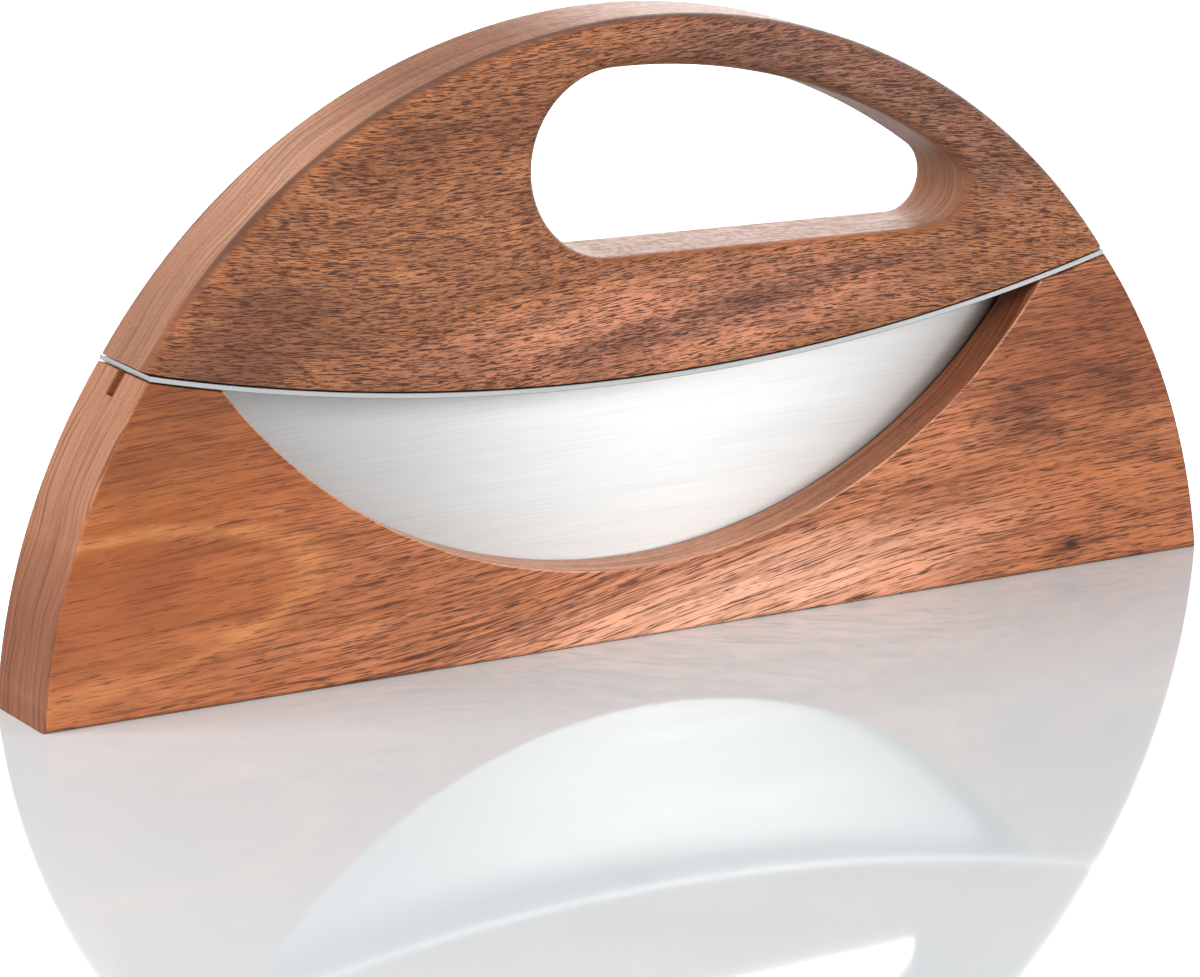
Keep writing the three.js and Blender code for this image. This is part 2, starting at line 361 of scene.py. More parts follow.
def make_handle(material):
    bm = bmesh.new()
    outer = []
    inner = []
    for y, inset in round_profile(HANDLE_ROUND, ROUND_STEPS):
        outer.append(draw_loop(bm, y, handle_course(inset)))
        inner.append(draw_loop(bm, y, hole_course(inset)))
    loft(bm, outer)
    loft(bm, inner)
    close_ends(bm, (outer[0] + inner[0], outer[-1] + inner[-1]))
    handle = new_piece("oiled_handle", bm)
    for _, x, y in screw_places():
        carve(handle, screw_shape("screw_cutter", SCREW_GAP, x, y), "DIFFERENCE")
    dress(handle, "handle", "knife", material)


# Steel plate and blade

def plate_course(inset):
    half = PLATE_HALF - inset
    under = seat_circle(PLATE_UNDER + inset)
    top = seat_circle(PLATE_TOP - inset)
    ends = [(side * half, seat_z(half, lift)) for lift in (PLATE_UNDER + inset, PLATE_TOP - inset)
            for side in (-1, 1)]
    return [arc_between(under, ends[0], ends[1], SEAT_STEPS), arc_between(top, ends[3], ends[2], SEAT_STEPS)]


def brick(name, size, middle):
    bm = bmesh.new()
    bmesh.ops.create_cube(bm, size=1, matrix=Matrix.Translation(middle) @ Matrix.Diagonal((*size, 1)))
    return new_piece(name, bm)


def make_plate(material):
    bm = bmesh.new()
    loops = []
    for y, inset in round_profile(PLATE_EASE, 1):
        loops.append(draw_loop(bm, y, plate_course(inset)))
    loft(bm, loops)
    close_ends(bm, (loops[0], loops[-1]))
    plate = new_piece("bent_plate", bm)
    slot = (2 * (TAB_HALF + TAB_GAP), 2 * (BLADE_FLAT + TAB_GAP), OVERCUT)
    for x in TAB_PLACES:
        carve(plate, brick("tab_cutter", slot, (x, 0, seat_z(x, PLATE_UNDER))), "DIFFERENCE")
    for _, x, y in screw_places():
        carve(plate, screw_shape("screw_cutter", SCREW_GAP, x, y), "DIFFERENCE")
    dress(plate, "bolster_plate", "knife", material)


def blade_course():
    """The blade's back with its two weld tabs, and a straight end on each side."""
    back = seat_circle(0)
    raised = seat_circle(PLATE_TOP)
    course = []
    place = -BLADE_HALF
    for tab in TAB_PLACES:
        for circle, lift, stop in ((back, 0, tab - TAB_HALF), (raised, PLATE_TOP, tab + TAB_HALF)):
            course.append(arc_between(
                circle, (place, seat_z(place, lift)), (stop, seat_z(stop, lift)), SEAT_STEPS // 4))
            place = stop
    course.append(arc_between(
        back, (place, seat_z(place, 0)), (BLADE_HALF, seat_z(BLADE_HALF, 0)), SEAT_STEPS // 4))
    return course + [(BLADE_HALF, -OVERCUT), (-BLADE_HALF, -OVERCUT)]


def ground_ring():
    """A stretch of a wide steel ring, ground to an edge around its outside."""
    bm = bmesh.new()
    shoulder = BLADE_EDGE_RADIUS - GRIND_WIDTH
    section = [
        (BLADE_HUB_RADIUS, -BLADE_FLAT), (shoulder, -BLADE_FLAT), (BLADE_EDGE_RADIUS, -BLADE_FINE),
        (BLADE_EDGE_RADIUS, BLADE_FINE), (shoulder, BLADE_FLAT), (BLADE_HUB_RADIUS, BLADE_FLAT)]
    half_sweep = math.asin(BLADE_HALF / BLADE_EDGE_RADIUS) + RING_SPARE
    corners = [bm.verts.new((0, y, -radius)) for radius, y in section]
    for corner, neighbour in zip(corners, corners[1:] + corners[:1]):
        bm.edges.new((corner, neighbour))
    bmesh.ops.rotate(bm, verts=bm.verts, matrix=Matrix.Rotation(half_sweep, 3, "Y"))
    bmesh.ops.spin(
        bm, geom=bm.verts[:] + bm.edges[:], axis=(0, -1, 0), angle=2 * half_sweep, steps=WINDOW_STEPS)
    bmesh.ops.holes_fill(bm, edges=bm.edges, sides=0)
    bmesh.ops.translate(bm, verts=bm.verts, vec=(0, 0, BLADE_CENTRE_Z))
    return new_piece("brushed_blade", bm)


def make_blade(material):
    blade = ground_ring()
    bm = bmesh.new()
    loops = [draw_loop(bm, y, blade_course()) for y in (-OVERCUT, OVERCUT)]
    loft(bm, loops)
    close_ends(bm, loops)
    carve(blade, new_piece("blade_cutter", bm), "INTERSECT")
    lay_brushing(blade)
    dress(blade, "blade", "knife", material)


def lay_brushing(piece):
    """A map laid flat from the front, whose first axis runs across the brushed lines."""
    bm = bmesh.new()
    bm.from_mesh(piece.data)
    layer = bm.loops.layers.uv.new("brushing")
    for face in bm.faces:
        for corner in face.loops:
            corner[layer].uv = (corner.vert.co.z, corner.vert.co.x)
    bm.to_mesh(piece.data)
    bm.free()


# Screws

def screw_places():
    places = []
    for along, x in (("left", -SCREW_X), ("middle", 0), ("right", SCREW_X)):
        for side, y in (("front", -SCREW_Y), ("back", SCREW_Y)):
            places.append((f"{along}_{side}", x, y))
    return places


def screw_seat(x, y):
    """Where a screw stands on the plate's underside, square to it."""
    lean = math.asin(x / (SEAT_RADIUS - PLATE_UNDER))
    return Matrix.Translation((x, y, seat_z(x, PLATE_UNDER))) @ Matrix.Rotation(-lean, 4, "Y")


def screw_shape(name, grow, x, y):
    """A countersunk screw, or the space that it needs when grown by a gap."""
    bm = bmesh.new()
    profile = [
        (0, -grow), (HEAD_RADIUS + grow, -grow), (HEAD_RADIUS + grow, HEAD_RIM),
        (SHANK_RADIUS + grow, HEAD_RIM + HEAD_RADIUS - SHANK_RADIUS),
        (SHANK_RADIUS + grow, SCREW_LENGTH - SCREW_POINT), (0, SCREW_LENGTH + 2 * grow)]
    corners = [bm.verts.new((radius, 0, z)) for radius, z in profile]
    for corner, neighbour in zip(corners, corners[1:]):
        bm.edges.new((corner, neighbour))
    bmesh.ops.spin(
        bm, geom=bm.verts[:] + bm.edges[:], axis=(0, 0, 1), angle=2 * math.pi, steps=SCREW_STEPS,
        use_merge=True)
    bmesh.ops.remove_doubles(bm, verts=bm.verts, dist=WELD)
    bmesh.ops.transform(bm, verts=bm.verts, matrix=screw_seat(x, y))
    return new_piece(name, bm)


def make_screws(material):
    for place, x, y in screw_places():
        screw = screw_shape(f"wood_screw_{place}", 0, x, y)
        for size in ((RECESS_LENGTH, RECESS_WIDTH), (RECESS_WIDTH, RECESS_LENGTH)):
            recess = brick("recess_cutter", (*size, 2 * RECESS_DEPTH), (0, 0, 0))
            recess.data.transform(screw_seat(x, y))
            carve(screw, recess, "DIFFERENCE")
        dress(screw, f"plate_screw_{place}", "knife", material)


# Writing node trees

class Recipe:
    """A node tree being written: each call adds a node and gives back its result."""

    def __init__(self, tree):
        self.tree = tree

    def add(self, kind, settings=None, **sockets):
        node = self.tree.nodes.new("ShaderNode" + kind)
        for name, value in (settings or {}).items():
            setattr(node, name, value)
        for name, value in sockets.items():
            self.feed(node.inputs[name.replace("_", " ")], value)
        return node

    def feed(self, socket, value):
        if isinstance(value, bpy.types.NodeSocket):
            self.tree.links.new(value, socket)
        else:
            socket.default_value = value

    def maths(self, operation, *values, clamp=False):
        node = self.add("Math", {"operation": operation, "use_clamp": clamp})
        for socket, value in zip(node.inputs, values):
            self.feed(socket, value)
        return node.outputs[0]

    def vector(self, operation, *values):
        node = self.add("VectorMath", {"operation": operation})
        for socket, value in zip(node.inputs, values):
            self.feed(socket, value)
        return node.outputs["Value" if operation == "LENGTH" else "Vector"]

    def place(self):
        """The point on the piece, in millimetres."""
        return self.vector("MULTIPLY", self.add("TexCoord").outputs["Object"], (1 / MM,) * 3)

    def split(self, vector):
        return self.add("SeparateXYZ", Vector=vector).outputs

    def join(self, x, y, z):
        return self.add("CombineXYZ", X=x, Y=y, Z=z).outputs[0]

    def noise(self, where, sizes, seed=0.0, detail=2.0, roughness=0.5):
        """Cloudy noise whose spots have the given sizes along the three axes, in millimetres."""
        scaled = self.vector("DIVIDE", where, sizes)
        node = self.add(
            "TexNoise", {"noise_dimensions": "4D"}, Vector=scaled, W=seed, Scale=1.0, Detail=detail,
            Roughness=roughness)
        return node.outputs[0]

    def spread(self, value, low, high, to_low=0.0, to_high=1.0):
        """Maps a range of values to another, with soft ends."""
        node = self.add(
            "MapRange", {"interpolation_type": "SMOOTHSTEP"}, Value=value, From_Min=low, From_Max=high,
            To_Min=to_low, To_Max=to_high)
        return node.outputs[0]

    def ramp(self, value, stops):
        node = self.add("ValToRGB", Fac=value)
        node.color_ramp.interpolation = "EASE"
        elements = node.color_ramp.elements
        while len(elements) < len(stops):
            elements.new(0.5)
        for element, (position, colour) in zip(elements, stops):
            element.position = position
            element.color = (*colour, 1)
        return node.outputs["Color"]

    def mix(self, amount, first, second, blend="MIX"):
        node = self.add("Mix", {"data_type": "RGBA", "blend_type": blend})
        self.feed(node.inputs[0], amount)
        self.feed(node.inputs[6], first if isinstance(first, bpy.types.NodeSocket) else (*first, 1))
        self.feed(node.inputs[7], second if isinstance(second, bpy.types.NodeSocket) else (*second, 1))
        return node.outputs[2]

    def group(self, group, **sockets):
        node = self.tree.nodes.new("ShaderNodeGroup")
        node.node_tree = group
        for name, value in sockets.items():
            self.feed(node.inputs[name.replace("_", " ")], value)
        return node.outputs


def new_group(name, inputs, outputs):
    """An empty node group, with its recipe, its inputs and its output node."""
    group = bpy.data.node_groups.new(name, "ShaderNodeTree")
    for socket_name, value in inputs.items():
        socket = group.interface.new_socket(socket_name, in_out="INPUT", socket_type="NodeSocketFloat")
        socket.default_value = value
    for socket_name in outputs:
        group.interface.new_socket(socket_name, in_out="OUTPUT", socket_type="NodeSocketFloat")
    given = group.nodes.new("NodeGroupInput").outputs
    result = group.nodes.new("NodeGroupOutput").inputs
    return group, Recipe(group), given, result


def new_material(name):
    material = bpy.data.materials.new(name)
    material.use_nodes = True
    shader = material.node_tree.nodes["Principled BSDF"]
    return material, Recipe(material.node_tree), shader


# Effects that several finishes share

def make_board_grain():
    """Grain of a flat-sawn board along X: growth bands and layers, streaks, fibre, pores and clouds."""
    inputs = {
        "Board": 0.0, "Lean": 0.0, "Sweep": 0.0, "Dash Length": 2.8, "Dash Width": 0.21, "Dash Cover": 0.5,
        "Pore Length": 10.0, "Pore Cover": 0.35}
    outputs = ("Bands", "Layers", "Streaks", "Fibre", "Dashes", "Pores", "Clouds")
    group, recipe, given, result = new_group("board_grain", inputs, outputs)
    board = given["Board"]
    place = recipe.place()
    x, y, z = recipe.split(place)
    wander = recipe.noise(place, (70, 35, 30), board, 1.0)
    wave = recipe.maths("MULTIPLY", recipe.maths("SUBTRACT", wander, 0.5), 4.0)
    swept = recipe.maths("MULTIPLY", recipe.spread(x, -75.0, 85.0), given["Sweep"])
    rise = recipe.maths("ADD", recipe.maths("MULTIPLY", x, given["Lean"]), swept)
    level = recipe.maths("ADD", recipe.maths("SUBTRACT", z, rise), wave)
    grain = recipe.join(x, y, level)
    layer = recipe.maths("MULTIPLY", recipe.noise(grain, (140, 60, 18), board, 1.0), 9.0)
    depth = recipe.maths("ADD", y, layer)
    rings = recipe.noise(recipe.join(depth, 0.0, 0.0), (2.2, 1.0, 1.0), board, 3.0, 0.65)
    recipe.feed(result["Bands"], recipe.spread(rings, 0.3, 0.7))
    layers = recipe.noise(recipe.join(x, depth, z), (40, 0.6, 40), board, 4.0, 0.68)
    recipe.feed(result["Layers"], recipe.spread(layers, 0.32, 0.68))
    streaks = recipe.noise(grain, (40, 1.5, 0.8), board, 3.0, 0.65)
    recipe.feed(result["Streaks"], recipe.spread(streaks, 0.34, 0.66))
    fibre = recipe.noise(grain, (8, 0.3, 0.26), board, 2.0, 0.6)
    recipe.feed(result["Fibre"], recipe.spread(fibre, 0.3, 0.7))
    dash_size = recipe.join(given["Dash Length"], 1.6, given["Dash Width"])
    dashes = recipe.noise(grain, dash_size, board, 1.0, 0.5)
    dash_limit = recipe.maths("SUBTRACT", 0.72, recipe.maths("MULTIPLY", given["Dash Cover"], 0.4))
    dash_rise = recipe.maths("SUBTRACT", dashes, dash_limit)
    recipe.feed(result["Dashes"], recipe.spread(dash_rise, -0.06, 0.06))
    pore_size = recipe.join(given["Pore Length"], 0.35, 0.26)
    pores = recipe.noise(grain, pore_size, board, 1.0, 0.5)
    pore_limit = recipe.maths("SUBTRACT", 0.76, recipe.maths("MULTIPLY", given["Pore Cover"], 0.4))
    pore_rise = recipe.maths("SUBTRACT", pores, pore_limit)
    recipe.feed(result["Pores"], recipe.spread(pore_rise, -0.035, 0.035))
    clouds = recipe.noise(grain, (24, 30, 8), board, 3.0, 0.55)
    recipe.feed(result["Clouds"], recipe.spread(clouds, 0.34, 0.66))
    return group


def make_soft_patch():
    """A ragged oval on the board: a mask that fades from its middle to its rim, and one along the rim."""
    inputs = {"Middle X": 0.0, "Middle Z": 0.0, "Reach X": 10.0, "Reach Z": 10.0, "Lean": 0.0, "Ragged": 0.7}
    group, recipe, given, result = new_group("soft_patch", inputs, ("Mask", "Rim"))
    place = recipe.place()
    x, _, z = recipe.split(place)
    across = recipe.maths("SUBTRACT", x, given["Middle X"])
    rise = recipe.maths("MULTIPLY", across, given["Lean"])
    above = recipe.maths("SUBTRACT", recipe.maths("SUBTRACT", z, given["Middle Z"]), rise)
    wide = recipe.maths("DIVIDE", across, given["Reach X"])
    tall = recipe.maths("DIVIDE", above, given["Reach Z"])
    away = recipe.vector("LENGTH", recipe.join(wide, 0.0, tall))
    rough_edge = recipe.maths("SUBTRACT", recipe.noise(place, (16, 9, 4), 3.0, 4.0, 0.65), 0.5)
    ragged = recipe.maths("ADD", away, recipe.maths("MULTIPLY", rough_edge, given["Ragged"]))
    recipe.feed(result["Mask"], recipe.spread(ragged, 1.0, 0.2))
    from_rim = recipe.maths("ABSOLUTE", recipe.maths("SUBTRACT", ragged, 1.0))
    recipe.feed(result["Rim"], recipe.spread(from_rim, 0.14, 0.0))
    return group


def make_brushed_lines():
    """Fine scratches along the steel, and the slow change of their strength over it."""
    group, recipe, given, result = new_group("brushed_lines", {"Line Length": 30.0}, ("Lines", "Patches"))
    place = recipe.place()
    sizes = recipe.join(given["Line Length"], 0.22, 0.22)
    recipe.feed(result["Lines"], recipe.spread(recipe.noise(place, sizes, 1.0, 3.0, 0.7), 0.3, 0.7))
    recipe.feed(result["Patches"], recipe.noise(place, (60, 8, 5), 2.0, 2.0))
    return group


# Finishes

def tinted(recipe, colour, tint, mask, strength):
    """The colour with another tint in it where the mask is."""
    return recipe.mix(recipe.maths("MULTIPLY", mask, strength), colour, tint)


def stained_and_shaded(recipe, colour, *stains):
    """The colour under a row of tints, each given as its tint, its mask and its strength: the wood's own
    stains, and painted shade and highlights.
    """
    for tint, mask, strength in stains:
        colour = tinted(recipe, colour, tint, mask, strength)
    return colour


def total(recipe, base, *shares):
    """A value raised by several masks, each in its own share."""
    for mask, share in shares:
        base = recipe.maths("ADD", base, recipe.maths("MULTIPLY", mask, share))
    return base


def radius_from(recipe, x, z):
    """How far a point of the piece is from a line through (x, z) across the board, in millimetres."""
    away = recipe.split(recipe.vector("SUBTRACT", recipe.place(), (x / MM, 0, z / MM)))
    return recipe.vector("LENGTH", recipe.join(away[0], 0.0, away[2])), away


def finish_wood(recipe, shader, grain, colour, on_face, dull):
    """A satin oil surface over fibre and, on the faces, pores; a dull mask takes some of the shine."""
    pits = recipe.maths("MAXIMUM", grain["Pores"], grain["Dashes"])
    pitted = recipe.maths("MULTIPLY", pits, on_face)
    shine = total(recipe, 0.4, (grain["Fibre"], 0.08), (pitted, 0.15), (dull, 0.25))
    relief = recipe.maths("SUBTRACT", recipe.maths("MULTIPLY", grain["Fibre"], 0.4), pitted)
    bump = recipe.add("Bump", Strength=0.3, Distance=0.12 * MM, Height=relief)
    recipe.feed(shader.inputs["Base Color"], colour)
    recipe.feed(shader.inputs["Roughness"], shine)
    recipe.feed(shader.inputs["Normal"], bump.outputs[0])
    shader.inputs["Specular IOR Level"].default_value = 0.3


def make_stand_finish(board_grain, soft_patch):
    """Orange wood, golden with a smooth heart on the left, salmon below the window, dark upper corners."""
    material, recipe, shader = new_material("oiled_stand_wood")
    oval = partial(recipe.group, soft_patch)
    left = oval(Middle_X=-140.0, Middle_Z=45.0, Reach_X=120.0, Reach_Z=85.0)["Mask"]
    right = oval(Middle_X=130.0, Middle_Z=25.0, Reach_X=80.0, Reach_Z=60.0)["Mask"]
    heart = oval(Middle_X=-133.0, Middle_Z=21.7, Reach_X=54.0, Reach_Z=15.5, Lean=0.09, Ragged=0.25)
    pale = oval(Middle_X=20.0, Middle_Z=3.0, Reach_X=90.0, Reach_Z=18.5, Lean=0.12, Ragged=0.5)["Mask"]
    upper_right = oval(Middle_X=118.0, Middle_Z=52.0, Reach_X=56.0, Reach_Z=32.0)["Mask"]
    cloud = oval(Middle_X=92.0, Middle_Z=36.0, Reach_X=15.0, Reach_Z=11.0, Ragged=1.8)["Mask"]
    small_cloud = oval(Middle_X=117.0, Middle_Z=41.0, Reach_X=14.0, Reach_Z=6.0, Ragged=1.4)["Mask"]
    bundle = oval(Middle_X=-30.0, Middle_Z=8.0, Reach_X=85.0, Reach_Z=7.5, Lean=0.15, Ragged=0.8)["Mask"]
    knot = oval(Middle_X=106.5, Middle_Z=5.2, Reach_X=2.4, Reach_Z=1.5, Ragged=1.2)["Mask"]
    swirl = oval(Middle_X=108.0, Middle_Z=5.0, Reach_X=16.0, Reach_Z=3.6, Lean=0.08, Ragged=2.2)["Mask"]
    smooth = oval(Middle_X=-142.0, Middle_Z=26.0, Reach_X=78.0, Reach_Z=46.0)["Mask"]
    upper_left = oval(Middle_X=-110.0, Middle_Z=62.0, Reach_X=42.0, Reach_Z=28.0, Lean=-0.1)["Mask"]
    dash_cover = total(
        recipe, 0.33, (smooth, -0.14), (pale, -0.14), (upper_right, 0.06), (cloud, 0.14),
        (small_cloud, 0.14), (swirl, 0.1))
    pore_cover = total(recipe, 0.32, (bundle, 0.1), (smooth, -0.16), (pale, 0.08))
    grain = recipe.group(
        board_grain, Board=7.3, Lean=0.05, Sweep=16.0, Dash_Length=4.0, Dash_Width=0.22,
        Dash_Cover=dash_cover, Pore_Cover=pore_cover)

    # The board's own colours
    orange = recipe.ramp(grain["Bands"], [
        (0.1, (0.48, 0.165, 0.072)), (0.5, (0.57, 0.208, 0.094)), (0.9, (0.65, 0.25, 0.12))])
    golden = recipe.ramp(grain["Bands"], [
        (0.1, (0.33, 0.088, 0.022)), (0.55, (0.385, 0.11, 0.029)), (0.9, (0.445, 0.14, 0.041))])
    salmon = recipe.ramp(grain["Bands"], [
        (0.1, (0.86, 0.4, 0.245)), (0.5, (0.92, 0.45, 0.29)), (0.9, (0.96, 0.5, 0.335))])
    colour = recipe.mix(left, orange, golden)
    colour = tinted(recipe, colour, golden, right, 0.4)
    colour = recipe.mix(pale, colour, salmon)
    colour = stained_and_shaded(
        recipe, colour,
        ((0.3, 0.085, 0.032), upper_right, 0.85),
        ((0.28, 0.084, 0.027), upper_left, 0.85),
        ((0.34, 0.093, 0.032), heart["Mask"], 0.75),
        ((0.62, 0.24, 0.085), heart["Rim"], 0.75),
        ((0.18, 0.058, 0.032), cloud, 0.55),
        ((0.2, 0.065, 0.035), small_cloud, 0.5),
        ((0.2, 0.06, 0.03), swirl, 0.7))
    streaked = recipe.ramp(grain["Streaks"], [
        (0.0, (0.6, 0.55, 0.52)), (0.4, (0.95, 0.94, 0.93)), (1.0, (1.07, 1.08, 1.08))])
    colour = recipe.mix(total(recipe, 0.9, (smooth, -0.5)), colour, streaked, "MULTIPLY")
    clouded = recipe.ramp(grain["Clouds"], [(0.0, (0.84, 0.82, 0.8)), (1.0, (1.08, 1.08, 1.08))])
    colour = recipe.mix(0.8, colour, clouded, "MULTIPLY")
    dark_lines = recipe.maths("MULTIPLY", bundle, recipe.spread(grain["Streaks"], 0.6, 0.1))
    colour = tinted(recipe, colour, (0.16, 0.045, 0.026), dark_lines, 0.65)

    # Where the saw went across the layers: the window's wall and the two ends, both with painted shade, and
    # a painted highlight on the window's front edge
    window_radius, from_window = radius_from(recipe, 0, WINDOW_FLOOR + WINDOW_RADIUS)
    window_edge = WINDOW_RADIUS / MM
    wall = recipe.spread(window_radius, window_edge + 0.4, window_edge + 0.2)
    end = stand_course(0, 0)[0].circle
    end_radius = recipe.maths(
        "MAXIMUM", radius_from(recipe, end.x, end.z)[0], radius_from(recipe, -end.x, end.z)[0])
    end_edge = end.radius / MM
    end_face = recipe.spread(end_radius, end_edge - 0.6, end_edge - 0.3)
    sawn = recipe.maths("MAXIMUM", wall, end_face)
    on_face = recipe.maths("SUBTRACT", 1.0, recipe.maths("MULTIPLY", sawn, 0.8))
    # Painted shade: the window's wall darkens towards the right, over its own end-grain tone
    wall_shade_gradient = recipe.spread(from_window[0], 10.0, 85.0)
    wall_tone_with_shade = recipe.mix(wall_shade_gradient, (0.6, 0.273, 0.16), (0.21, 0.063, 0.021))
    # Painted shade: the ends darken towards the bottom, over their own end-grain tone
    end_shade_gradient = recipe.spread(from_window[2], -118.0, -78.0)
    end_tone_with_shade = recipe.mix(end_shade_gradient, (0.21, 0.084, 0.047), (0.36, 0.168, 0.1))
    face = HALF_THICKNESS / MM
    # Painted highlight: a light line along the window's front edge
    near_face = recipe.spread(recipe.maths("ABSOLUTE", from_window[1]), face - 0.4, face - 0.25)
    near_window = recipe.spread(window_radius, window_edge + 0.5, window_edge + 0.4)
    painted_edge_highlight = recipe.maths("MULTIPLY", near_window, near_face)
    colour = stained_and_shaded(
        recipe, colour,
        (wall_tone_with_shade, wall, 0.85),
        (end_tone_with_shade, end_face, 0.88),
        ((0.78, 0.42, 0.28), painted_edge_highlight, 0.45))
    layered = recipe.ramp(grain["Layers"], [
        (0.0, (0.5, 0.46, 0.44)), (0.5, (1, 1, 1)), (1.0, (1.2, 1.22, 1.24))])
    colour = recipe.mix(sawn, colour, layered, "MULTIPLY")

    # Pores on the faces
    dashes = recipe.maths("MULTIPLY", grain["Dashes"], on_face)
    dashes = recipe.maths("MULTIPLY", dashes, recipe.spread(left, 0.0, 1.0, 0.9, 0.5))
    pores = recipe.maths("MULTIPLY", grain["Pores"], on_face)
    colour = stained_and_shaded(
        recipe, colour,
        ((0.075, 0.024, 0.013), dashes, 1.0),
        ((0.12, 0.034, 0.018), pores, 0.85),
        ((0.04, 0.016, 0.012), knot, 0.9))
    finish_wood(recipe, shader, grain, colour, on_face, end_face)
    return material


def make_handle_finish(board_grain, soft_patch):
    """Brown wood, pink with dark lines below the hole; layers show on the arch and in the hole."""
    material, recipe, shader = new_material("oiled_handle_wood")
    oval = partial(recipe.group, soft_patch)
    web = oval(Middle_X=8.0, Middle_Z=68.0, Reach_X=85.0, Reach_Z=15.0, Lean=0.06)["Mask"]
    rail = oval(Middle_X=52.0, Middle_Z=112.0, Reach_X=76.0, Reach_Z=30.0, Lean=-0.4)["Mask"]
    bundle = oval(Middle_X=8.0, Middle_Z=67.0, Reach_X=75.0, Reach_Z=5.5, Lean=0.15, Ragged=1.2)["Mask"]
    warm = oval(Middle_X=-56.0, Middle_Z=84.0, Reach_X=48.0, Reach_Z=18.0, Lean=0.3, Ragged=1.0)["Mask"]
    low_left = oval(Middle_X=-98.0, Middle_Z=72.0, Reach_X=44.0, Reach_Z=16.0, Lean=0.2, Ragged=1.0)["Mask"]
    rail_left = oval(
        Middle_X=-32.0, Middle_Z=119.0, Reach_X=42.0, Reach_Z=15.0, Lean=0.25, Ragged=1.0)["Mask"]
    dash_cover = total(recipe, 0.51, (web, -0.07), (bundle, 0.12), (rail, 0.04))
    grain = recipe.group(
        board_grain, Board=2.6, Lean=-0.12, Sweep=20.0, Dash_Length=2.2, Dash_Width=0.15,
        Dash_Cover=dash_cover, Pore_Cover=0.25)

    # The board's own colours
    brown = recipe.ramp(grain["Bands"], [
        (0.1, (0.35, 0.122, 0.046)), (0.5, (0.405, 0.15, 0.06)), (0.9, (0.46, 0.178, 0.075))])
    pink = recipe.ramp(grain["Bands"], [
        (0.1, (0.52, 0.19, 0.1)), (0.5, (0.58, 0.225, 0.125)), (0.9, (0.64, 0.262, 0.152))])
    colour = recipe.mix(web, brown, pink)
    colour = stained_and_shaded(
        recipe, colour,
        ((0.27, 0.13, 0.09), rail, 0.8),
        ((0.28, 0.11, 0.065), bundle, 0.6),
        ((0.54, 0.225, 0.105), warm, 0.4),
        ((0.19, 0.07, 0.034), low_left, 0.8),
        ((0.25, 0.088, 0.042), rail_left, 0.5))
    clouded = recipe.ramp(grain["Clouds"], [(0.0, (0.72, 0.71, 0.71)), (1.0, (1.12, 1.11, 1.08))])
    colour = recipe.mix(0.8, colour, clouded, "MULTIPLY")
    streaked = recipe.ramp(grain["Streaks"], [
        (0.0, (0.8, 0.77, 0.75)), (0.4, (0.97, 0.96, 0.95)), (1.0, (1.06, 1.07, 1.07))])
    colour = recipe.mix(0.85, colour, streaked, "MULTIPLY")

    # Between the round edges: the arch's outside, with painted shade along its length and a painted sheen on
    # its crown, and the hole's wall, with painted shade
    face = HALF_THICKNESS / MM
    flat = (HALF_THICKNESS - HANDLE_ROUND) / MM
    arch = arch_circle()
    radius, away = radius_from(recipe, arch.x, arch.z)
    along = away[0]
    depth = recipe.maths("ABSOLUTE", away[1])
    wall = recipe.spread(depth, flat + 0.1, flat - 0.1)
    rim_start = (arch.radius - HANDLE_ROUND) / MM
    rim = recipe.spread(radius, rim_start - 0.3, rim_start + 0.3)
    # Painted shade: the arch darkens along its shoulder and towards its foot
    past_foot = recipe.spread(along, -85.0, -45.0)
    before_crown = recipe.spread(along, 6.0, -30.0)
    shoulder = recipe.maths("MULTIPLY", past_foot, before_crown)
    arch_shade = recipe.maths("MULTIPLY", rim, shoulder)
    foot_shade = recipe.maths("MULTIPLY", rim, recipe.spread(along, -82.0, -108.0))
    # Painted sheen: the arch's crown is tinted paler and greyer
    crown_sheen = recipe.maths("MULTIPLY", rim, recipe.spread(along, -34.0, 2.0))
    # Painted shade: the hole's wall is darkened
    hole_shade = recipe.maths("SUBTRACT", 1.0, rim)
    layered = recipe.ramp(grain["Layers"], [
        (0.0, (0.15, 0.062, 0.032)), (0.5, (0.35, 0.152, 0.078)), (1.0, (0.5, 0.235, 0.13))])
    layered = stained_and_shaded(
        recipe, layered,
        ((0.1, 0.036, 0.016), arch_shade, 0.6),
        ((0.17, 0.078, 0.045), foot_shade, 0.5),
        ((0.3, 0.19, 0.145), crown_sheen, 0.6),
        ((0.19, 0.066, 0.027), hole_shade, 0.4))

    # Pores on the faces, and painted shade: a dark ridge along the arch's round edge
    on_face = recipe.spread(depth, flat + 0.5, face - 0.4, 0.08, 1.0)
    dashes = recipe.maths("MULTIPLY", grain["Dashes"], on_face)
    ridge_start = recipe.spread(depth, flat - 0.1, flat + 0.1)
    ridge_stop = recipe.spread(depth, flat + 3.2, flat + 1)
    ridge_shade = recipe.maths("MULTIPLY", recipe.maths("MULTIPLY", ridge_start, ridge_stop), rim)
    ridge_shade = recipe.maths("MULTIPLY", ridge_shade, recipe.spread(along, -114.0, -92.0, 0.4, 1.0))
    colour = stained_and_shaded(
        recipe, colour,
        (layered, wall, 0.9),
        ((0.062, 0.019, 0.012), dashes, 0.95),
        ((0.07, 0.028, 0.019), ridge_shade, 0.85))
    pores_open = recipe.maths("MAXIMUM", on_face, 0.6)
    finish_wood(recipe, shader, grain, colour, pores_open, recipe.maths("MULTIPLY", arch_shade, wall))
    return material


